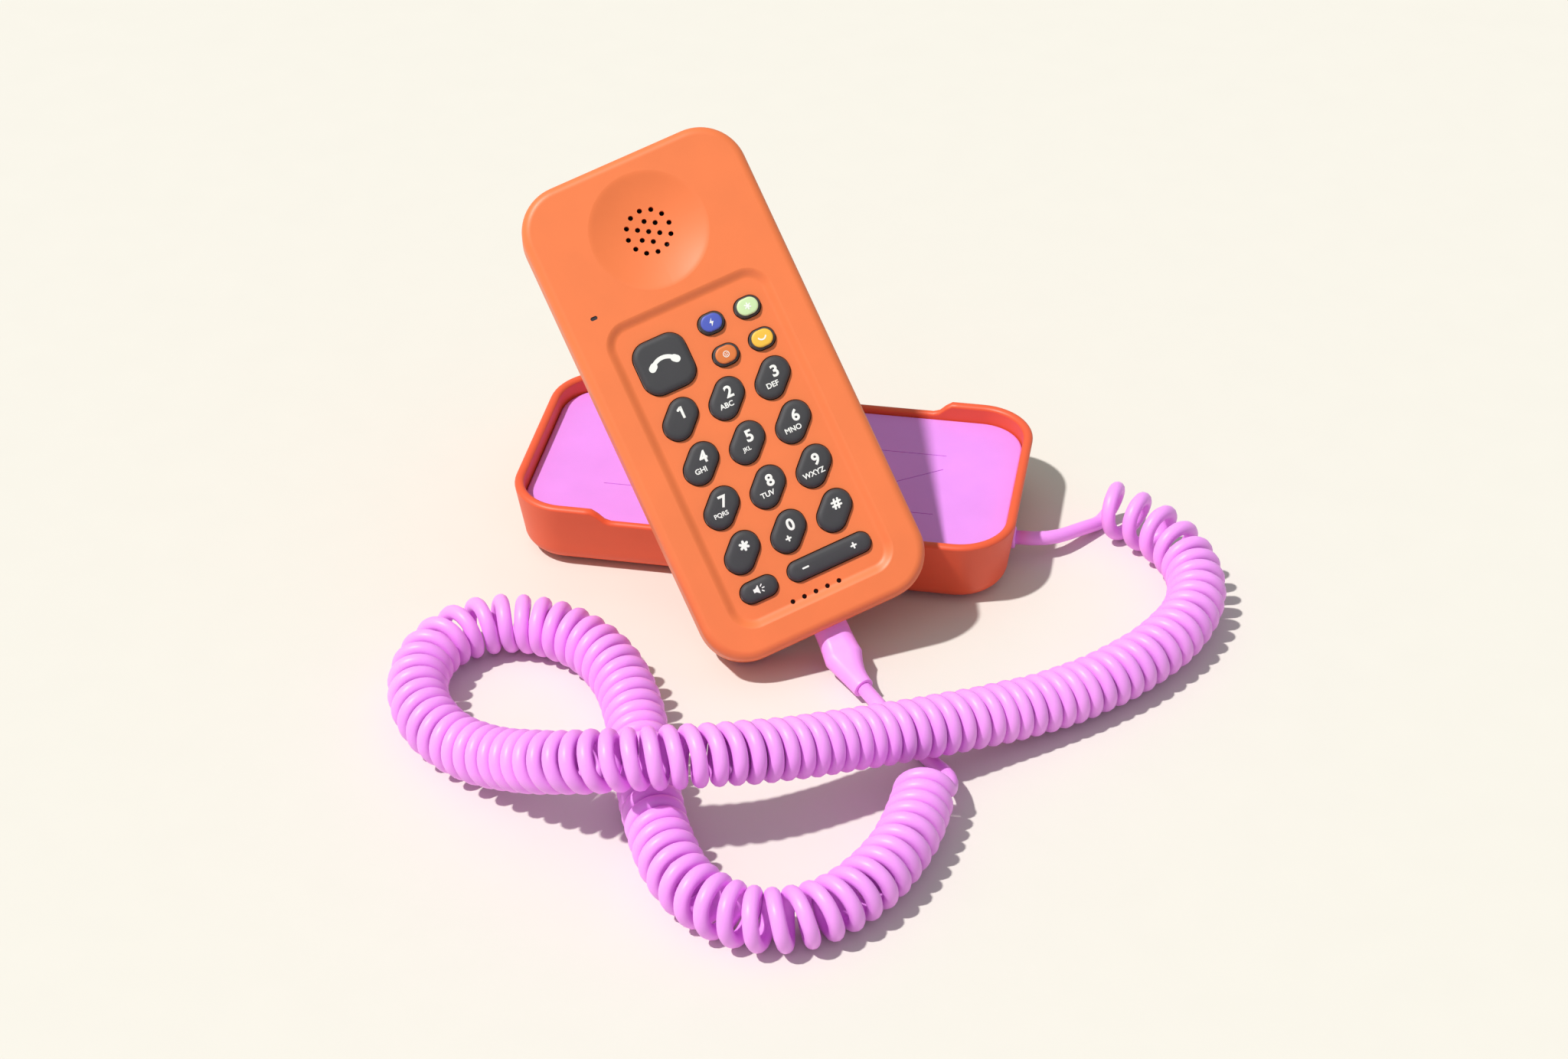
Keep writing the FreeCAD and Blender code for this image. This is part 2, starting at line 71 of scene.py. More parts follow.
# ---- camera ----
# A long lens in front of the phone, a little to the right of it, looking down at the keypad.
camera_spot = (0.17012, -0.86274, 0.63891)
camera_heading, camera_drop, camera_roll = 10.99, 36.29, -0.98
camera_data = bpy.data.cameras.new("camera")
camera_data.sensor_width = 36.0
camera_data.lens = 65.39
camera_data.clip_start = 0.01
camera = bpy.data.objects.new("camera", camera_data)
heading, drop, roll = (math.radians(a) for a in (camera_heading, camera_drop, camera_roll))
camera.matrix_world = (Matrix.Translation(camera_spot) @ Matrix.Rotation(heading, 4, "Z")
                       @ Matrix.Rotation(math.radians(90) - drop, 4, "X") @ Matrix.Rotation(roll, 4, "Z"))
scene.collection.objects.link(camera)
scene.camera = camera

# ---- curly cord ----
# One soft lilac lead, moulded in tight turns, between the cradle's end wall and the handset's plug.
# The coil lies on the table in two loops and climbs over itself once; its turns touch on the inside
# of each bend, fan out on the outside, and stand apart near the cradle.
wire = 0.0053
coil_radius = 0.0081          # from the coil's middle to the wire's middle
turn_gap = 0.0055             # along the coil, from turn to turn, where it runs straight
loose_gap, loose_length, loose_fade = 0.0042, 0.052, 0.012      # wider gaps next to the cradle
gap_waves = ((0.04, 0.0137), (0.03, 0.0041))    # by what share the gaps vary, and how fast along the coil
slack_share, slack_points = 0.008, 11.0         # how much slimmer some turns are, and how fast that varies
route_step, bend_steps = 0.0005, 16             # the coil's bend is taken over these steps each way
points_per_turn = 16
first_turn, last_turn = math.radians(-30), math.radians(262)
wire_sides = 12
lead_that_lifts = 0.050       # of the handset's lead

coil_route = [
    (0.1210, 0.0116, 0.0110), (0.1335, 0.0070, 0.0108), (0.1465, -0.0035, 0.0108),
    (0.1565, -0.0175, 0.0108), (0.1615, -0.0340, 0.0108), (0.1595, -0.0520, 0.0108),
    (0.1510, -0.0700, 0.0108), (0.1365, -0.0885, 0.0108), (0.1175, -0.1060, 0.0114),
    (0.0980, -0.1205, 0.0142), (0.0780, -0.1355, 0.0186), (0.0560, -0.1510, 0.0234),
    (0.0335, -0.1680, 0.0296), (0.0110, -0.1815, 0.0356), (-0.0120, -0.1885, 0.0366),
    (-0.0340, -0.1870, 0.0306), (-0.0540, -0.1780, 0.0206), (-0.0710, -0.1685, 0.0132),
    (-0.0865, -0.1585, 0.0108), (-0.0980, -0.1455, 0.0108), (-0.1035, -0.1305, 0.0108),
    (-0.1030, -0.1155, 0.0108), (-0.0965, -0.1025, 0.0108), (-0.0835, -0.0945, 0.0108),
    (-0.0660, -0.0938, 0.0108), (-0.0485, -0.1012, 0.0108), (-0.0350, -0.1150, 0.0108),
    (-0.0255, -0.1325, 0.0108), (-0.0175, -0.1550, 0.0108), (-0.0100, -0.1770, 0.0108),
    (-0.0015, -0.1980, 0.0108), (0.0090, -0.2155, 0.0108), (0.0235, -0.2260, 0.0108),
    (0.0405, -0.2290, 0.0108), (0.0565, -0.2215, 0.0108), (0.0685, -0.2065, 0.0108),
    (0.0760, -0.1885, 0.0108), (0.0790, -0.1710, 0.0108), (0.0795, -0.1585, 0.0108)]
base_lead = [(0.0905, -0.0115, 0.0090), (0.0995, -0.0115, 0.0090), (0.1078, -0.0066, 0.0075),
             (0.1142, 0.0014, 0.0056)]
handset_lead = [(0.0873, -0.1515, 0.0090), (0.0846, -0.1430, 0.0052), (0.0776, -0.1348, 0.0030),
                (0.0680, -0.1235, 0.0029), (0.0586, -0.1129, 0.0042), (0.0502, -0.1042, 0.0061)]


def spline(points, thickness=0.0, fineness=12):
    """Curve data: one smooth spline with these control points, round and as thick as asked."""
    data = bpy.data.curves.new("spline", "CURVE")
    data.dimensions = "3D"
    data.bevel_depth = thickness / 2
    data.bevel_resolution = wire_sides // 2 - 2
    line = data.splines.new("NURBS")
    line.points.add(len(points) - 1)
    for control, point in zip(line.points, points):
        control.co = (*point, 1.0)
    line.order_u = 3
    line.use_endpoint_u = True
    line.resolution_u = data.resolution_u = fineness
    return data


def meshed(data, name):
    """A mesh object in the scene from curve or text data."""
    source = bpy.data.objects.new("source", data)
    obj = bpy.data.objects.new(name, bpy.data.meshes.new_from_object(source))
    bpy.data.objects.remove(source)
    scene.collection.objects.link(obj)
    obj.data.name = name
    return obj


def points_along(points, fineness=12):
    """The points of the smooth line that these control points make."""
    source = bpy.data.objects.new("line", spline(points, 0.0, fineness))
    mesh = bpy.data.meshes.new_from_object(source)
    line = [v.co.copy() for v in mesh.vertices]
    bpy.data.objects.remove(source)
    bpy.data.meshes.remove(mesh)
    return line


def evenly(line, step):
    """The line again, with a point every step."""
    spaced, left = [line[0]], step
    for a, b in zip(line, line[1:]):
        length, start = (b - a).length, 0.0
        while length - start >= left:
            start += left
            spaced.append(a.lerp(b, start / length))
            left = step
        left -= length - start
    return spaced


def coil_turns():
    """Control points of the wire, round and round the coil's middle line."""
    middle = evenly(points_along(coil_route), route_step)
    ahead = [(b - a).normalized() for a, b in zip(middle, middle[1:])]
    last = len(ahead) - 1
    phase = [0.0]
    for i in range(last):
        before, after, along = max(i - bend_steps, 0), min(i + bend_steps, last), i * route_step
        bend = ahead[before].angle(ahead[after]) / ((after - before) * route_step)
        gap = turn_gap / (1 - coil_radius * bend)
        gap *= 1 + sum(share * math.sin(along / pace) for share, pace in gap_waves)
        gap += loose_gap * min(max((loose_length - along) / loose_fade, 0), 1)
        phase.append(phase[-1] + 2 * math.pi * route_step / gap)
    ending = (last_turn - first_turn) % (2 * math.pi)
    turns = round((phase[-1] - ending) / (2 * math.pi))
    stretch = (turns * 2 * math.pi + ending) / phase[-1]
    count = round(phase[-1] * stretch / (2 * math.pi) * points_per_turn)
    radius = coil_radius / math.cos(math.pi / points_per_turn)
    wound, i = [], 0
    for k in range(count + 1):
        wanted = k / points_per_turn * 2 * math.pi
        while i < last - 1 and phase[i + 1] * stretch < wanted:
            i += 1
        share = (wanted / stretch - phase[i]) / (phase[i + 1] - phase[i])
        centre = middle[i].lerp(middle[i + 1], min(share, 1))
        up = (Vector((0, 0, 1)) - ahead[i] * ahead[i].z).normalized()
        side = up.cross(ahead[i])
        turn = first_turn + wanted
        slack = 1 - slack_share * (1 + math.sin(k / slack_points))
        wound.append(centre + (side * math.sin(turn) - up * math.cos(turn)) * radius * slack)
    return wound


def soft_finish(name, colour, roughness, grain=0.0004, depth=0.02, mottle=0.06, glow=0.0, sheen=0.0):
    """Material: moulded plastic or rubber, finely grained and a little uneven in its colour."""
    cloud_size, gloss_spread = 0.02, 0.06
    material = bpy.data.materials.new(name)
    material.use_nodes = True
    nodes, links = material.node_tree.nodes, material.node_tree.links
    shader = nodes["Principled BSDF"]
    shader.inputs["Subsurface Weight"].default_value = glow
    shader.inputs["Subsurface Radius"].default_value = (0.004, 0.002, 0.004)
    shader.inputs["Subsurface Scale"].default_value = 1.0
    shader.inputs["Sheen Weight"].default_value = sheen
    shader.inputs["Sheen Roughness"].default_value = 0.4
    place = nodes.new("ShaderNodeTexCoord")

    def noise(size, detail):
        texture = nodes.new("ShaderNodeTexNoise")
        texture.inputs["Scale"].default_value = 1 / size
        texture.inputs["Detail"].default_value = detail
        links.new(place.outputs["Object"], texture.inputs["Vector"])
        return texture

    cloud, specks = noise(cloud_size, 4.0), noise(grain, 2.0)
    tint = nodes.new("ShaderNodeValToRGB")
    for stop, shade in zip(tint.color_ramp.elements, (1 - mottle, 1 + mottle)):
        stop.color = (*(min(c * shade, 1.0) for c in colour), 1.0)
    tint.color_ramp.elements[0].position, tint.color_ramp.elements[1].position = 0.3, 0.7
    links.new(cloud.outputs["Fac"], tint.inputs["Fac"])
    links.new(tint.outputs["Color"], shader.inputs["Base Color"])
    gloss = nodes.new("ShaderNodeMapRange")
    gloss.inputs["To Min"].default_value = roughness - gloss_spread
    gloss.inputs["To Max"].default_value = roughness + gloss_spread
    links.new(specks.outputs["Fac"], gloss.inputs["Value"])
    links.new(gloss.outputs["Result"], shader.inputs["Roughness"])
    bump = nodes.new("ShaderNodeBump")
    bump.inputs["Strength"].default_value = 1.0
    bump.inputs["Distance"].default_value = grain * depth
    links.new(specks.outputs["Fac"], bump.inputs["Height"])
    links.new(bump.outputs["Normal"], shader.inputs["Normal"])
    return material


def eased(share):
    """A share from 0 to 1 that starts and ends gently."""
    return share * share * (3 - 2 * share)


lilac_rubber = soft_finish("lilac_rubber", (0.93, 0.345, 0.975), 0.42, grain=0.0003, depth=0.03, glow=0.12)
wire_points = base_lead + coil_turns() + handset_lead
wire_line = points_along(wire_points, 2)
curly_cord = meshed(spline(wire_points, wire, 2), "curly_cord")
wire_mesh = bmesh.new()
wire_mesh.from_mesh(curly_cord.data)
bmesh.ops.holes_fill(wire_mesh, edges=wire_mesh.edges, sides=0)     # the wire's two ends
wire_mesh.to_mesh(curly_cord.data)
wire_mesh.free()
curly_cord.data.materials.append(lilac_rubber)
curly_cord.data.shade_smooth()
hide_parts("cord_lead_base", "cord_coil", "cord_front_loop", "cord_lead_handset")
# The cord rides with the cradle, and the end of its lead rises with the handset's plug.
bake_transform(curly_cord, "cradle", "handset", start=handset_lead[2], end=handset_lead[-1])
follow = curly_cord.data.attributes["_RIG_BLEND"].data
from_plug = [0.0]
for nearer, farther in zip(wire_line[::-1], wire_line[-2::-1]):
    from_plug.append(from_plug[-1] + (nearer - farther).length)
for i, item in enumerate(follow):
    item.value = eased(1 - min(from_plug[-1 - i // wire_sides] / lead_that_lifts, 1))

# ---- cord plug ----
# A lilac plug moulded on the end of the lead: a flat grip that fits the handset's socket, then a
# shoulder and a round neck that bends down to the table. Its neck ends flat round the wire.
joints = {joint["name"]: joint for joint in frame["joints"]}
face_up = Vector(joints["rocker_tilt"]["axis"]).normalized()
face_out = -Vector(joints["key_5_press"]["axis"]).normalized()
to_handset = Matrix((face_up.cross(face_out), face_up, face_out))
plug_size, plug_neck, plug_round, plug_crease = (0.0138, 0.0088), 0.0076, 0.0002, 50
plug_root, plug_depth = 0.0008, 0.0100          # where it starts: inside the handset's end, below its face
plug_bow, plug_shoulder, plug_hollow, plug_swell = 0.38, 0.47, 1.7, 0.0007
plug_steps = 32


def outline(size, corner, arc_steps=10, side_steps=1, inset=0.0):
    """Points anticlockwise round a rectangle with round corners, moved in by inset."""
    least_corner, hair = 0.0002, 1e-6
    length, width = size[0] - 2 * inset, size[1] - 2 * inset
    corner = min(max(corner - inset, least_corner), length / 2 - hair, width / 2 - hair)
    arcs = []
    for i, (sx, sy) in enumerate(((1, 1), (-1, 1), (-1, -1), (1, -1))):
        middle = Vector((sx * (length / 2 - corner), sy * (width / 2 - corner)))
        angles = [math.radians(90 * (i + k / arc_steps)) for k in range(arc_steps + 1)]
        arcs.append([middle + corner * Vector((math.cos(a), math.sin(a))) for a in angles])
    points = []
    for arc, following in zip(arcs, arcs[1:] + arcs[:1]):
        points += arc
        points += [arc[-1].lerp(following[0], k / side_steps) for k in range(1, side_steps)]
    return points


def level(points, z):
    """The points of an outline, all at this height."""
    return [(p[0], p[1], z) for p in points]


def skin(name, rings, place=Matrix.Identity(4), material=None):
    """A closed mesh object through rings of points, with its first and last ring filled."""
    count, last = len(rings[0]), len(rings) - 1
    points = [place @ Vector(p) for ring in rings for p in ring]
    faces = []
    for r in range(last):
        for k in range(count):
            nxt = (k + 1) % count
            faces.append([r * count + k, r * count + nxt, (r + 1) * count + nxt, (r + 1) * count + k])
    faces += [[k for k in reversed(range(count))], [last * count + k for k in range(count)]]
    mesh = bpy.data.meshes.new(name)
    mesh.from_pydata(points, [], faces)
    obj = bpy.data.objects.new(name, mesh)
    scene.collection.objects.link(obj)
    if material:
        mesh.materials.append(material)
    return obj


def settled(obj, kind, **settings):
    """The object with one modifier of this kind applied."""
    modifier = obj.modifiers.new(kind.lower(), kind)
    for key, value in settings.items():
        setattr(modifier, key, value)
    bpy.context.view_layer.update()
    mesh = bpy.data.meshes.new_from_object(obj.evaluated_get(bpy.context.evaluated_depsgraph_get()))
    obj.modifiers.clear()
    old, obj.data = obj.data, mesh
    bpy.data.meshes.remove(old)
    mesh.name = obj.name
    return obj


def softly_shaded(obj, sharp=32):
    """Smooth shading that keeps flat faces flat, and keeps edges over this angle sharp."""
    obj.data.shade_smooth()
    obj.data.set_sharp_from_angle(angle=math.radians(sharp))
    return settled(obj, "WEIGHTED_NORMAL", keep_sharp=True, weight=100)


def face_box(node):
    """Lowest and highest corner of a CAD node in the handset's own directions."""
    points = [to_handset @ v.co for v in frame["nodes"][node].data.vertices]
    return Vector(map(min, *points)), Vector(map(max, *points))


front_low, front_high = face_box("handset_front")
body_size = (front_high.x - front_low.x, front_high.y - front_low.y)
face_middle = Vector(((front_low.x + front_high.x) / 2, (front_low.y + front_high.y) / 2, front_high.z))
handset_place = to_handset.transposed().to_4x4() @ Matrix.Translation(face_middle)
face_top = body_size[1] / 2
root = handset_place @ Vector((0, plug_root - body_size[1] / 2, -plug_depth))
tip = Vector(handset_lead[-1])
aim = (Vector(handset_lead[-2]) - tip).normalized()
bow = (tip - root).length * plug_bow
spine = interpolate_bezier(root, root - face_up * bow, tip - aim * bow, tip, plug_steps + 1)
plug_rings = []
for k, centre in enumerate(spine):
    ahead = (spine[min(k + 1, plug_steps)] - spine[max(k - 1, 0)]).normalized()
    wide = (to_handset[0] - ahead * to_handset[0].dot(ahead)).normalized()
    thick = ahead.cross(wide)
    taper = 1 - (1 - max(k / plug_steps - plug_shoulder, 0) / (1 - plug_shoulder)) ** plug_hollow
    narrow = plug_swell * (1 - min(k / plug_steps / plug_shoulder, 1) ** 2)
    width = (plug_size[0] - 2 * narrow) * (1 - taper) + plug_neck * taper
    height = plug_size[1] * (1 - taper) + plug_neck * taper
    for inset, back in ([(0, plug_round), (plug_round, 0)] if k == plug_steps else [(0, 0)]):
        ring = outline((width, height), height / 2 - plug_round, 10, inset=inset)
        plug_rings.append([centre - ahead * back + wide * p.x + thick * p.y for p in ring])
plug = softly_shaded(skin("cord_plug", plug_rings, material=lilac_rubber), plug_crease)
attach(plug, "handset")
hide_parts("handset_plug")

# ---- cradle tray ----
# The orange tray, moulded in one piece: walls that lean in towards the base, a round rim, and a long
# finger dip with S-shaped ends in the rim of both long sides.
tray_low, tray_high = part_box("cradle_shell")
pad_low, pad_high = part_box("cradle_pad")
tray_size = (tray_high.x - tray_low.x, tray_high.y - tray_low.y)
tray_corner, tray_lean, tray_sides = 0.021, 0.0035, (14, 60)     # steps round a corner and along a side
rim_width, rim_round, base_round, foot_inset = 0.0036, 0.0014, 0.007, 0.015
dip_reach, dip_ramp, dip_drop = 0.0540, 0.0070, 0.0046
long_side_margin = 0.001
pad_web = 0.0025                                # the tray's floor, under the pad
jack_gap, jack_behind = 0.0002, 0.02


def cut(obj, *cutters):
    """The object less the cutters, which go."""
    for cutter in cutters:
        settled(obj, "BOOLEAN", operation="DIFFERENCE", object=cutter, solver="EXACT")
        bpy.data.objects.remove(cutter)
    return obj


def sweep(end, steps):
    """Angles from nothing to this many degrees."""
    return [math.radians(end * k / steps) for k in range(steps + 1)]


def rectangle(low, high):
    """The four corners between two points, anticlockwise."""
    return [(low[0], low[1]), (high[0], low[1]), (high[0], high[1]), (low[0], high[1])]


def tray_ring(inset, height):
    """The tray's outline moved in by inset, at this height."""
    return level(outline(tray_size, tray_corner, *tray_sides, inset), height)


def rim_ring(inset, below, outer_share):
    """A ring of the rim, this far below its top, which dips on the long sides."""
    ring = []
    for p in outline(tray_size, tray_corner, *tray_sides, inset):
        drop = 0.0
        if abs(p.y) > tray_size[1] / 2 - rim_width - long_side_margin:
            drop = dip_drop * (1 - eased(min(max((abs(p.x) - dip_reach) / dip_ramp, 0), 1)))
        lean = outer_share * tray_lean * drop / (tray_high.z - tray_low.z)
        ring.append((p.x, p.y - math.copysign(lean, p.y), tray_high.z - drop - below))
    return ring


wall_foot = tray_lean * (1 - base_round / (tray_high.z - tray_low.z))
tray_rings = [tray_ring(foot_inset, pad_low.z - pad_web), tray_ring(foot_inset, tray_low.z)]
for a in sweep(90, 8):
    inset = wall_foot + (base_round + tray_lean - wall_foot) * (1 - math.sin(a))
    tray_rings.append(tray_ring(inset, tray_low.z + base_round * (1 - math.cos(a))))
for a in sweep(180, 10):
    across = (1 - math.cos(a)) / 2
    tray_rings.append(rim_ring(rim_width * across, rim_round * (1 - math.sin(a)), 1 - across))
tray_rings.append(tray_ring(rim_width, pad_low.z))
jack_low, jack_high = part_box("line_jack")
jack_low -= Vector((jack_gap, jack_gap, jack_gap))
jack_high += Vector((jack_gap, jack_behind, jack_gap))
jack_ring = rectangle(jack_low, jack_high)
# A deeper, more saturated orange than the handset's: the tray's own colour with painted shade in it, matched
# to its shaded walls. The base plate wears it too.
cradle_orange = soft_finish("cradle_orange", (0.78, 0.102, 0.034), 0.46, grain=0.00035, depth=0.035,
                            mottle=0.03)
cradle_tray = skin("cradle_tray", tray_rings, material=cradle_orange)
cut(cradle_tray, skin("jack_hole", [level(jack_ring, jack_low.z), level(jack_ring, jack_high.z)]))
softly_shaded(cradle_tray)
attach(cradle_tray, "cradle")
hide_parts("cradle_shell")

# ---- cradle pad ----
# A lilac mat of soft rubber, moulded with a rounded edge and a plain pattern of shallow lines. It is
# stuck on the tray's floor, inside the walls.
pad_gap, pad_edge = 0.0002, 0.0011
pad_inset = rim_width + pad_gap
line_width, line_depth, line_cut = 0.0004, 0.0003, 0.001
pressed_lines = [[(-0.062, 0.019), (0.062, 0.019)], [(-0.062, -0.019), (0.062, -0.019)],
                 [(-0.062, 0.010), (-0.031, -0.010), (0.0, 0.010), (0.031, -0.010), (0.062, 0.010)]]


def stroke(points, width):
    """Outline of a line drawn with a round pen of this width."""
    least_share, cap_steps = 0.3, 8
    path = [Vector(p) for p in points]
    left, right = [], []
    for i, p in enumerate(path):
        into = (p - path[i - 1]).normalized() if i else (path[1] - p).normalized()
        out = (path[i + 1] - p).normalized() if i < len(path) - 1 else into
        across = Vector((-into.y - out.y, into.x + out.x)).normalized()
        across *= width / 2 / max(across.dot(Vector((-into.y, into.x))), least_share)
        left.append(p + across)
        right.append(p - across)

    def cap(tip, start):
        """A half circle round the line's tip, after this start."""
        turns = [Matrix.Rotation(-math.pi * k / cap_steps, 2) for k in range(1, cap_steps)]
        return [tip + turn @ (start - tip) for turn in turns]

    return left + cap(path[-1], left[-1]) + right[::-1] + cap(path[0], right[0])


pad_outline = outline(tray_size, tray_corner, 14, inset=pad_inset)
pad_rings = [level(pad_outline, pad_low.z)]
for a in sweep(90, 6):
    ring = outline(tray_size, tray_corner, 14, inset=pad_inset + pad_edge * (1 - math.cos(a)))
    pad_rings.append(level(ring, pad_high.z - pad_edge * (1 - math.sin(a))))
lilac_pad = soft_finish("lilac_pad", (0.74, 0.275, 0.84), 0.55, grain=0.0005, depth=0.03, mottle=0.03,
                        glow=0.05)
cradle_pad = skin("cradle_mat", pad_rings, material=lilac_pad)
for line in pressed_lines:
    groove = stroke(line, line_width)[::-1]
    groove_rings = [level(groove, pad_high.z - line_depth), level(groove, pad_high.z + line_cut)]
    cut(cradle_pad, skin("pressed_line", groove_rings))
softly_shaded(cradle_pad)
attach(cradle_pad, "cradle")
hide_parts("cradle_pad")

# ---- cord gland ----
# A small collar of the same lilac rubber, moulded on the cord. It sits in a hole in the tray's end wall
# and holds the cord there.
gland_low, gland_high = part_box("cord_gland")
gland_round = 0.0008
gland_r = (gland_high.y - gland_low.y) / 2
gland_place = (Matrix.Translation((0, (gland_low.y + gland_high.y) / 2, (gland_low.z + gland_high.z) / 2))
               @ Matrix.Rotation(math.radians(90), 4, "Y"))
gland_rings = [level(outline((2 * gland_r, 2 * gland_r), gland_r, 8), gland_low.x)]
for a in sweep(90, 4):
    ring = outline((2 * gland_r, 2 * gland_r), gland_r, 8, inset=gland_round * (1 - math.cos(a)))
    gland_rings.append(level(ring, gland_high.x - gland_round * (1 - math.sin(a))))
cord_gland = softly_shaded(skin("cord_collar", gland_rings, gland_place, lilac_rubber))
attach(cord_gland, "cradle")
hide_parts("cord_gland")

# ---- handset front ----
# The orange face half of the handset: a slab with soft edges, a dished earpiece with nineteen sound
# holes, a slot for the light, and a shallow well with soft sloping sides for the keys.
body_corner, face_edge, parting_edge = 0.017, 0.0034, 0.0003
parting_depth, shell_wall, face_wall = 0.011, 0.0024, 0.0042
dish_radius, dish_depth, dish_from_top = 0.021, 0.0032, 0.0281
dish_lip, dish_blend, dish_steps = 0.00012, 0.0035, 40          # how softly the dish meets the face
sound_hole, sound_ring, hole_depth = 0.00093, 0.0079, 0.02
well_size, well_corner, well_from_top = (0.0624, 0.1173), 0.0088, 0.0543
well_depth, well_slope, well_spread, well_steps = 0.0017, 0.0041, 0.0009, 16
mouth_hole, mouth_pitch, mouth_holes, mouth_from_top = 0.000875, 0.00447, 5, 0.1685
key_gap, key_hole_edge, slot_gap = 0.00028, 0.0003, 0.00005
cutter_start, cutter_top = 0.00003, 0.003       # above the face


def body_ring(inset, z):
    """The handset's outline moved in by inset, at this height from its face."""
    return level(outline(body_size, body_corner, 16, inset=inset), z)


front_rings = [body_ring(shell_wall, -face_wall), body_ring(shell_wall, -parting_depth),
               body_ring(parting_edge, -parting_depth), body_ring(0, -parting_depth + parting_edge)]
for a in sweep(90, 12):
    front_rings.append(body_ring(face_edge * (1 - math.cos(a)), face_edge * (math.sin(a) - 1)))
orange_shell = soft_finish("handset_orange", (0.85, 0.195, 0.06), 0.46, grain=0.00035, depth=0.035,
                           mottle=0.03)
front = skin("handset_face", front_rings, material=orange_shell)


def moved(points, to):
    """The points, shifted across the face."""
    return [(p[0] + to[0], p[1] + to[1], *p[2:]) for p in points]


well_middle, well_rings = (0, face_top - well_from_top - well_size[1] / 2), []
for k in range(well_steps + 1):
    rise = k / well_steps
    inset = well_slope * (1 - rise) - well_spread
    z = cutter_start - (well_depth + cutter_start) * (1 + math.cos(math.pi * rise)) / 2
    well_rings.append(level(moved(outline(well_size, well_corner, 12, inset=inset), well_middle), z))
well_rings.append(level(well_rings[-1], cutter_top))
dish_middle, dish_rings = (0, face_top - dish_from_top), []
for k in range(1, dish_steps + 1):
    r = (dish_radius + dish_blend) * k / dish_steps
    hollow = dish_depth * (1 - (r / dish_radius) ** 2)
    z = cutter_start - dish_lip * math.log(1 + math.exp(hollow / dish_lip))
    dish_rings.append(level(moved(outline((2 * r, 2 * r), r, 16), dish_middle), z))
dish_rings.append(level(dish_rings[-1], cutter_top))
cut(front, skin("well", well_rings), skin("dish", dish_rings))


def drill_pins(pin_sides=20):
    """Geometry nodes: a round pin on every point, to cut a row or a ring of holes with."""
    tree = bpy.data.node_groups.new("drill_pins", "GeometryNodeTree")
    tree.interface.new_socket("Spots", in_out="INPUT", socket_type="NodeSocketGeometry")
    tree.interface.new_socket("Hole radius", in_out="INPUT", socket_type="NodeSocketFloat")
    tree.interface.new_socket("Hole depth", in_out="INPUT", socket_type="NodeSocketFloat")
    tree.interface.new_socket("Pins", in_out="OUTPUT", socket_type="NodeSocketGeometry")
    nodes, links = tree.nodes, tree.links
    given, made = nodes.new("NodeGroupInput"), nodes.new("NodeGroupOutput")
    pin, spread = nodes.new("GeometryNodeMeshCylinder"), nodes.new("GeometryNodeInstanceOnPoints")
    real, paint = nodes.new("GeometryNodeRealizeInstances"), nodes.new("GeometryNodeSetMaterial")
    pin.inputs["Vertices"].default_value = pin_sides
    paint.inputs["Material"].default_value = orange_shell
    links.new(given.outputs["Hole radius"], pin.inputs["Radius"])
    links.new(given.outputs["Hole depth"], pin.inputs["Depth"])
    links.new(given.outputs["Spots"], spread.inputs["Points"])
    links.new(pin.outputs["Mesh"], spread.inputs["Instance"])
    links.new(spread.outputs["Instances"], real.inputs["Geometry"])
    links.new(real.outputs["Geometry"], paint.inputs["Geometry"])
    links.new(paint.outputs["Geometry"], made.inputs["Pins"])
    return tree


hole_tree = drill_pins()


def pins(spots, radius):
    """A cutter of pins across the face, one on each of these points."""
    mesh = bpy.data.meshes.new("spots")
    mesh.from_pydata([(x, y, 0) for x, y in spots], [], [])
    obj = bpy.data.objects.new("spots", mesh)
    scene.collection.objects.link(obj)
    modifier = obj.modifiers.new("drill", "NODES")
    modifier.node_group = hole_tree
    sockets = {s.name: s.identifier for s in hole_tree.interface.items_tree if s.in_out == "INPUT"}
    modifier[sockets["Hole radius"]] = radius
    modifier[sockets["Hole depth"]] = hole_depth
    bpy.context.view_layer.update()
    solid = bpy.data.meshes.new_from_object(obj.evaluated_get(bpy.context.evaluated_depsgraph_get()))
    obj.modifiers.clear()
    obj.data = solid
    return obj


ear_spots = [(0, 0)]
for radius, holes, turn in ((sound_ring / 2, 6, 30), (sound_ring, 12, 0)):
    angles = [math.radians(360 / holes * k + turn) for k in range(holes)]
    ear_spots += [(radius * math.cos(a), radius * math.sin(a)) for a in angles]
mouth_row = [((k - (mouth_holes - 1) / 2) * mouth_pitch, face_top - mouth_from_top)
             for k in range(mouth_holes)]
cut(front, pins(moved(ear_spots, dish_middle), sound_hole), pins(mouth_row, mouth_hole))

# Each key's size, corner radius and turn in degrees on the face.
number_size, colour_size = (0.0156, 0.0104), (0.0095, 0.0073)
keys = {"key_big": ((0.0196, 0.0196), 0.0059, 0), "key_speaker": ((0.0137, 0.0074), 0.0037, 0),
        "rocker": ((0.0317, 0.0072), 0.0036, 0)}
for name in ("1", "2", "3", "4", "5", "6", "7", "8", "9", "star", "0", "hash"):
    keys["key_" + name] = (number_size, number_size[1] / 2, 45)
for colour in ("blue", "green", "orange", "yellow"):
    keys[f"key_{colour}_skirt"] = (colour_size, colour_size[1] / 2, 0)
# The rounded hole for a key, as how far each ring lies outside its edge and above the well's floor.
hole_profile = ((0, -0.008), (0, -key_hole_edge), (-key_hole_edge * 0.3, -key_hole_edge * 0.3),
                (-key_hole_edge, 0.00002), (-key_hole_edge, 0.0012))


def key_place(node):
    """Where a key lies on the face, at the height of its top."""
    low, high = face_box(node)
    middle = (low + high) / 2 - face_middle
    return Matrix.Translation((middle.x, middle.y, high.z - face_middle.z))


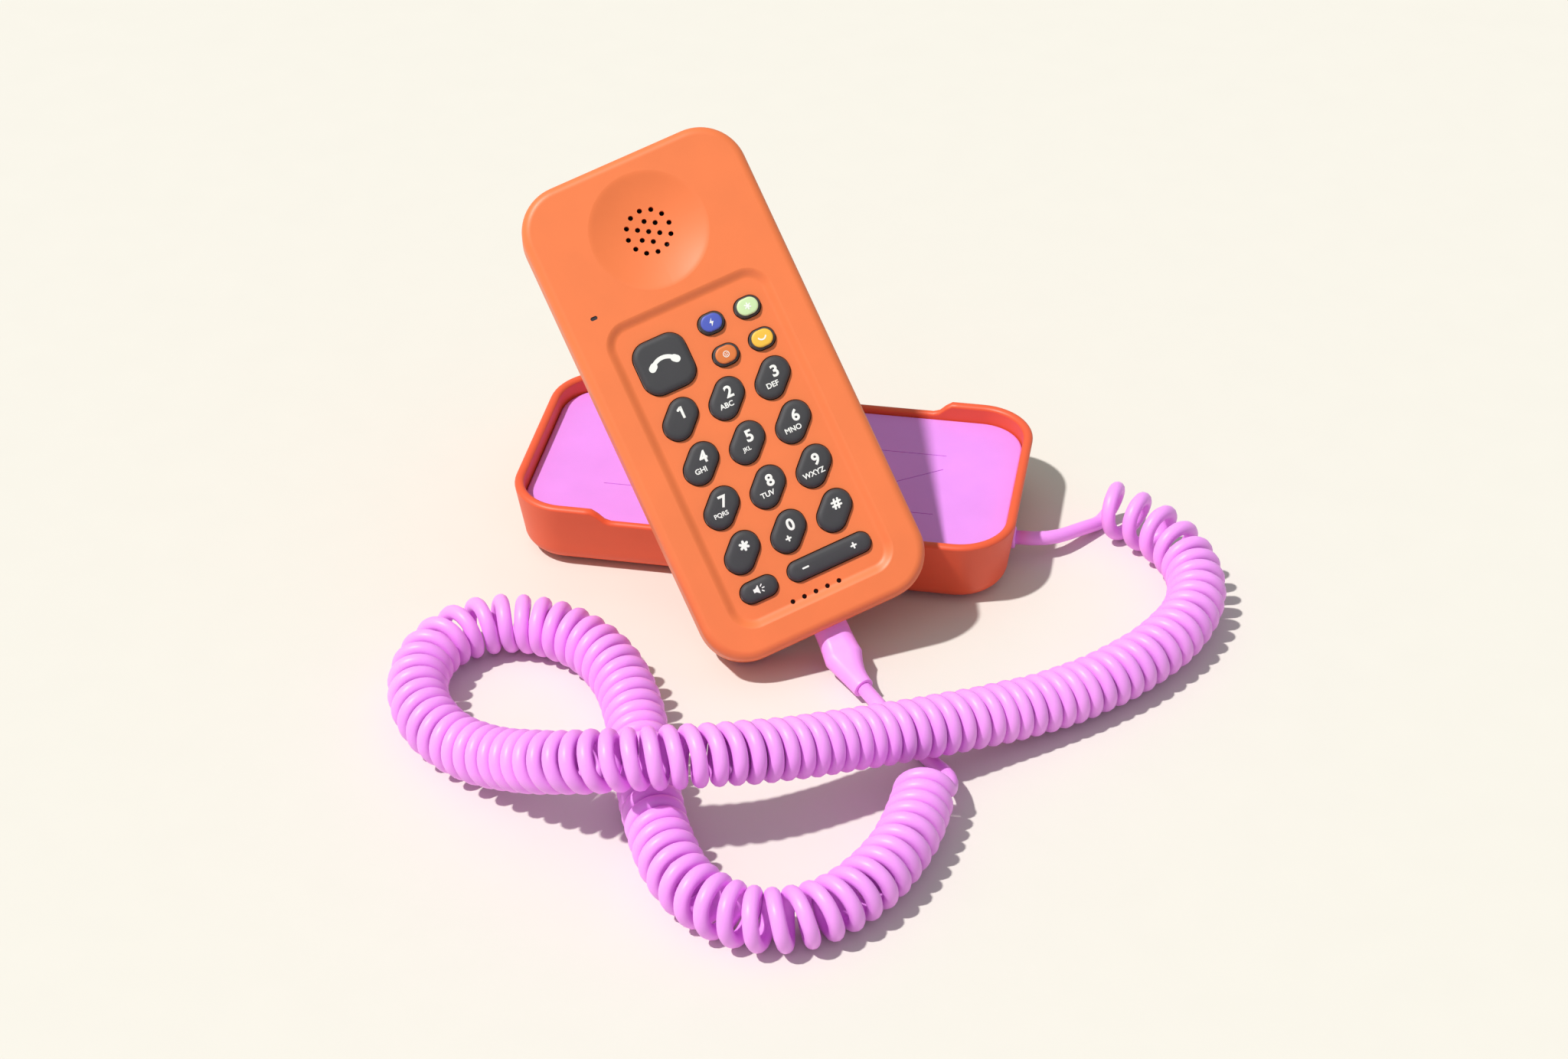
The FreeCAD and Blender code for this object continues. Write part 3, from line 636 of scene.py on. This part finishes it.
for node, (size, corner, turn) in keys.items():
    place = key_place(node) @ Matrix.Rotation(math.radians(turn), 4, "Z")
    floor = -well_depth - place.translation.z
    rings = [level(outline(size, corner, 10, inset=inset - key_gap), floor + z) for inset, z in hole_profile]
    cut(front, skin("key_hole", rings, place))
light_low, light_high = face_box("light_pipe")
light_size = (light_high.x - light_low.x + 2 * slot_gap, light_high.y - light_low.y + 2 * slot_gap)
light_middle = (light_low + light_high) / 2 - face_middle
slot_ring = moved(outline(light_size, light_size[1] / 2, 8), light_middle)
cut(front, skin("light_slot", [level(slot_ring, -hole_depth / 2), level(slot_ring, hole_depth / 2)]))
front.data.transform(handset_place)
softly_shaded(front)
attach(front, "handset")
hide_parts("handset_front")

# ---- keys ----
# Soft black rubber keys with round shoulders and white printing. The four small ones carry a
# coloured cap on a black skirt; the long one at the bottom rocks between quieter and louder.
black_rubber = soft_finish("black_rubber", (0.041, 0.039, 0.045), 0.62, grain=0.0003, depth=0.04,
                           mottle=0.08, sheen=0.15)
cap_paints = {"blue": (0.075, 0.105, 0.50), "green": (0.60, 0.76, 0.42),
              "orange": (0.70, 0.18, 0.042), "yellow": (0.86, 0.50, 0.055)}
shoulder, skirt_shoulder, cap_shoulder = (0.0021, 0.0013), (0.0008, 0.0006), (0.0007, 0.0005)   # wide, deep
crown, key_crease = 0.00008, 50
cap_size = (0.0078, 0.0061)


def key_body(name, node, size, corner, turn, rounding, material):
    """A key: straight sides, round shoulders and a faintly domed top."""
    place = handset_place @ key_place(node) @ Matrix.Rotation(math.radians(turn), 4, "Z")
    low, high = face_box(node)
    rings = [level(outline(size, corner, 12), low.z - high.z)]
    for a in sweep(90, 8):
        ring = outline(size, corner, 12, inset=rounding[0] * (1 - math.cos(a)))
        rings.append(level(ring, rounding[1] * (math.sin(a) - 1) - crown))
    rings.append(level(outline(size, corner, 12, inset=(rounding[0] + min(size) / 2) / 2), 0))
    return softly_shaded(skin(name, rings, place, material), key_crease)


for node, (size, corner, turn) in keys.items():
    rounding = skirt_shoulder if node.endswith("skirt") else shoulder
    key = key_body(node + "_rubber", node, size, corner, turn, rounding, black_rubber)
    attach(key, node.replace("_skirt", ""))
    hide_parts(node)
for colour, paint in cap_paints.items():
    node = "key_" + colour
    finish = soft_finish(colour + "_cap", paint, 0.45, grain=0.0003, depth=0.02, mottle=0.04)
    cap = key_body(node + "_cap", node, cap_size, cap_size[1] / 2, 0, cap_shoulder, finish)
    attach(cap, node)
    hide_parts(node)

# ---- printing on the keys ----
# White ink on the rubber, a hair proud of it: bold digits, small letters and plain signs. Each key's
# print moves with the key. The sizes here are in millimetres, and the mesh is scaled at the end.
mm = 0.001
digit_height, letter_height, digit_bold, letter_bold = 4.4, 2.0, 0.19, 0.07
digit_at, letters_at = (1.45, 1.8), (-1.2, -2.4)
ink_height, ink_sink, ink_layer = 0.06, 0.2, 0.012
capital_share = 0.7           # of a letter's size
letter_groups = {"2": "ABC", "3": "DEF", "4": "GHI", "5": "JKL", "6": "MNO", "7": "PQRS", "8": "TUV",
                 "9": "WXYZ"}
white_ink = soft_finish("white_ink", (0.86, 0.85, 0.83), 0.5, grain=0.0002, depth=0.01, mottle=0.02)


def lettering(text, height, bold, at):
    """Mesh of a word as tall as height, its strokes fatter by bold, with its middle at this point."""
    data = bpy.data.curves.new("word", "FONT")
    data.body, data.size, data.resolution_u = text, (height - 2 * bold) / capital_share * mm, 5
    data.bevel_depth, data.bevel_resolution, data.extrude = bold * mm, 0, 6 * bold * mm
    source = bpy.data.objects.new("word", data)
    mesh = bpy.data.meshes.new_from_object(source)
    bpy.data.objects.remove(source)
    low = Vector(map(min, *(v.co for v in mesh.vertices)))
    high = Vector(map(max, *(v.co for v in mesh.vertices)))
    scale, flat = height / (high.y - low.y), (ink_height + ink_sink) / (high.z - low.z)
    mesh.transform(Matrix.Translation((*at, (ink_height - ink_sink) / 2))
                   @ Matrix.Diagonal((scale, scale, flat, 1)) @ Matrix.Translation((low + high) / -2))
    return mesh


def sign(shapes):
    """Mesh of flat shapes, each an outline that runs anticlockwise or clockwise."""
    points, faces = [], []
    for layer, shape in enumerate(shapes):
        area = sum(a[0] * b[1] - b[0] * a[1] for a, b in zip(shape, shape[1:] + shape[:1]))
        shape = shape if area > 0 else shape[::-1]
        start, count = len(points), len(shape)
        points += level(shape, -ink_sink) + level(shape, ink_height + layer * ink_layer)
        faces += [[start + k for k in reversed(range(count))], [start + count + k for k in range(count)]]
        for k in range(count):
            nxt = (k + 1) % count
            faces.append([start + k, start + nxt, start + count + nxt, start + count + k])
    mesh = bpy.data.meshes.new("sign")
    mesh.from_pydata(points, [], faces)
    return mesh


def bar(x, y, length, width, turn):
    """A round-ended bar with its middle at this point."""
    a = math.radians(turn)
    half = Vector((math.cos(a), math.sin(a))) * (length - width) / 2
    return stroke([Vector((x, y)) - half, Vector((x, y)) + half], width)


def arc(x, y, radius, start, end, width, steps=14):
    """A round-ended part of a circle about this point."""
    angles = [math.radians(start + (end - start) * k / steps) for k in range(steps + 1)]
    return stroke([(x + radius * math.cos(a), y + radius * math.sin(a)) for a in angles], width)


def dot(x, y, radius):
    """A round spot at this point."""
    return [Vector((x, y)) + p for p in outline((2 * radius, 2 * radius), radius, 6)]


def star(x, y, length, width):
    """Three bars crossed at this point."""
    return [bar(x, y, length, width, turn) for turn in (90, 30, 150)]


def plus(x, y, length, width):
    """Two bars crossed at this point."""
    return [bar(x, y, length, width, turn) for turn in (0, 90)]


def hash_sign(x, y, tall=4.0, wide=3.9, apart=0.65, width=0.75, lean=80):
    """Two leaning bars crossed by two level ones."""
    return ([bar(x + side * apart, y, tall, width, lean) for side in (-1, 1)]
            + [bar(x, y + side * apart, wide, width, 0) for side in (-1, 1)])


def receiver():
    """A telephone handset lying face down: a bowed grip and its two ends."""
    return [arc(0, -3.4, 5.6, 40, 140, 1.5), bar(-4.3, 0.1, 3.6, 2.6, 40), bar(4.3, 0.1, 3.6, 2.6, 140)]


def loudspeaker(ray_from=1.45, ray_length=1.1, ray_width=0.4):
    """A cone with three rays of sound."""
    shapes = [[(-2.2, -0.65), (-1.3, -0.65), (-0.1, -1.6), (-0.1, 1.6), (-1.3, 0.65), (-2.2, 0.65)]]
    for a in (-0.8, 0, 0.8):
        x, y = ray_from * math.cos(a), ray_from * math.sin(a)
        shapes.append(bar(x, y, ray_length, ray_width, math.degrees(a)))
    return shapes


signs = {
    "key_star": star(*digit_at, 3.9, 0.95),
    "key_hash": hash_sign(*digit_at),
    "key_1": [bar(digit_at[0] - 0.75, digit_at[1] + 1.45, 1.9, 0.9, 35)],      # a heavier flag on the 1
    "key_0": plus(*letters_at, 2.3, 0.62),
    "key_big": receiver(),
    "key_speaker": loudspeaker(),
    "rocker": [bar(-9.3, 0, 2.6, 0.62, 0)] + plus(9.3, 0, 2.4, 0.62),
    "key_blue": [[(0.5, 1.5), (-0.8, -0.1), (-0.1, -0.25), (-0.4, -1.5), (0.85, 0.15), (0.1, 0.3)]],
    "key_green": star(0, 0, 2.7, 0.5),
    "key_orange": [arc(0, 0, 1.05, 0, 350, 0.25, 24), dot(-0.36, 0.25, 0.17), dot(0.36, 0.25, 0.17),
                   arc(0, 0, 0.5, 210, 330, 0.22)],
    "key_yellow": [arc(0, 0.9, 1.5, 205, 335, 0.55)],
}
for node in [n for n in keys if "skirt" not in n] + ["key_" + colour for colour in cap_paints]:
    digit = node[-1] if node[-1].isdigit() else ""
    printed = [lettering(digit, digit_height, digit_bold, digit_at)] if digit else []
    if digit in letter_groups:
        printed.append(lettering(letter_groups[digit], letter_height, letter_bold, letters_at))
    if node in signs:
        printed.append(sign(signs[node]))
    joined = bmesh.new()
    for mesh in printed:
        joined.from_mesh(mesh)
        bpy.data.meshes.remove(mesh)
    ink = bpy.data.meshes.new(node + "_ink")
    joined.transform(handset_place @ key_place(node) @ Matrix.Diagonal((mm, mm, mm, 1)))
    joined.to_mesh(ink)
    joined.free()
    ink.materials.append(white_ink)
    legend = bpy.data.objects.new(node + "_ink", ink)
    scene.collection.objects.link(legend)
    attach(legend, node)

# ---- the rest of the phone ----
# Pieces whose moulded or machined shape needs no more work get their finish here: the handset's back, the
# base plate, the grip mat, the screws, the line socket, and what is inside.
grey_grip = soft_finish("grey_grip", (0.045, 0.045, 0.05), 0.7, grain=0.0006, depth=0.08, mottle=0.1)
steel = soft_finish("steel", (0.55, 0.55, 0.57), 0.34, grain=0.0002, depth=0.02, mottle=0.04)
steel.node_tree.nodes["Principled BSDF"].inputs["Metallic"].default_value = 1.0
green_board = soft_finish("green_board", (0.02, 0.16, 0.07), 0.4, grain=0.0006, depth=0.03, mottle=0.15)
dark_plastic = soft_finish("dark_plastic", (0.02, 0.02, 0.023), 0.5, grain=0.0004, depth=0.03, mottle=0.1)
clear_pipe = soft_finish("clear_pipe", (0.05, 0.04, 0.05), 0.2, grain=0.0004, depth=0.01, mottle=0.02)
plain_pieces = {
    "handset_back": orange_shell, "base_plate": cradle_orange, "base_grip": grey_grip,
    "base_screws": steel, "handset_screws": steel, "ballast": steel,
    "hook_magnets": steel, "hold_magnets": steel, "handset_weight": steel, "plug_socket": steel,
    "key_switches": steel, "cradle_board": green_board, "key_board": green_board,
    "line_jack": dark_plastic, "ringer": dark_plastic, "ear_gasket": dark_plastic,
    "ear_speaker": dark_plastic, "microphone": dark_plastic, "light_pipe": clear_pipe}
for node, finish in plain_pieces.items():
    for holder in frame["nodes"][node].material_slots:
        holder.material = finish

# ---- floor and light ----
# A pale floor, one lamp high on the left in front, and a broad soft fill from all round.
floor_half, floor_depth = 25.0, 0.01
floor_paint = soft_finish("pale_floor", (0.745, 0.70, 0.65), 0.8, grain=0.001, depth=0.01, mottle=0.005)
floor_ring = rectangle((-floor_half, -floor_half), (floor_half, floor_half))
floor = skin("floor", [level(floor_ring, -floor_depth), level(floor_ring, 0)], material=floor_paint)
lamp_data = bpy.data.lights.new("lamp", "SUN")
lamp_data.energy = 3.36
lamp_data.angle = math.radians(2.5)
lamp_data.color = (1.0, 0.98, 0.95)
lamp = bpy.data.objects.new("lamp", lamp_data)
lamp_shines = Vector((0.422, 0.251, -0.871))
lamp.matrix_world = lamp_shines.to_track_quat("-Z", "Y").to_matrix().to_4x4()
scene.collection.objects.link(lamp)
fill = bpy.data.worlds.new("fill")
fill.use_nodes = True
fill.node_tree.nodes["Background"].inputs["Color"].default_value = (0.87, 1.0, 0.95, 1.0)
fill.node_tree.nodes["Background"].inputs["Strength"].default_value = 0.42
scene.world = fill
scene.view_settings.view_transform = "Standard"
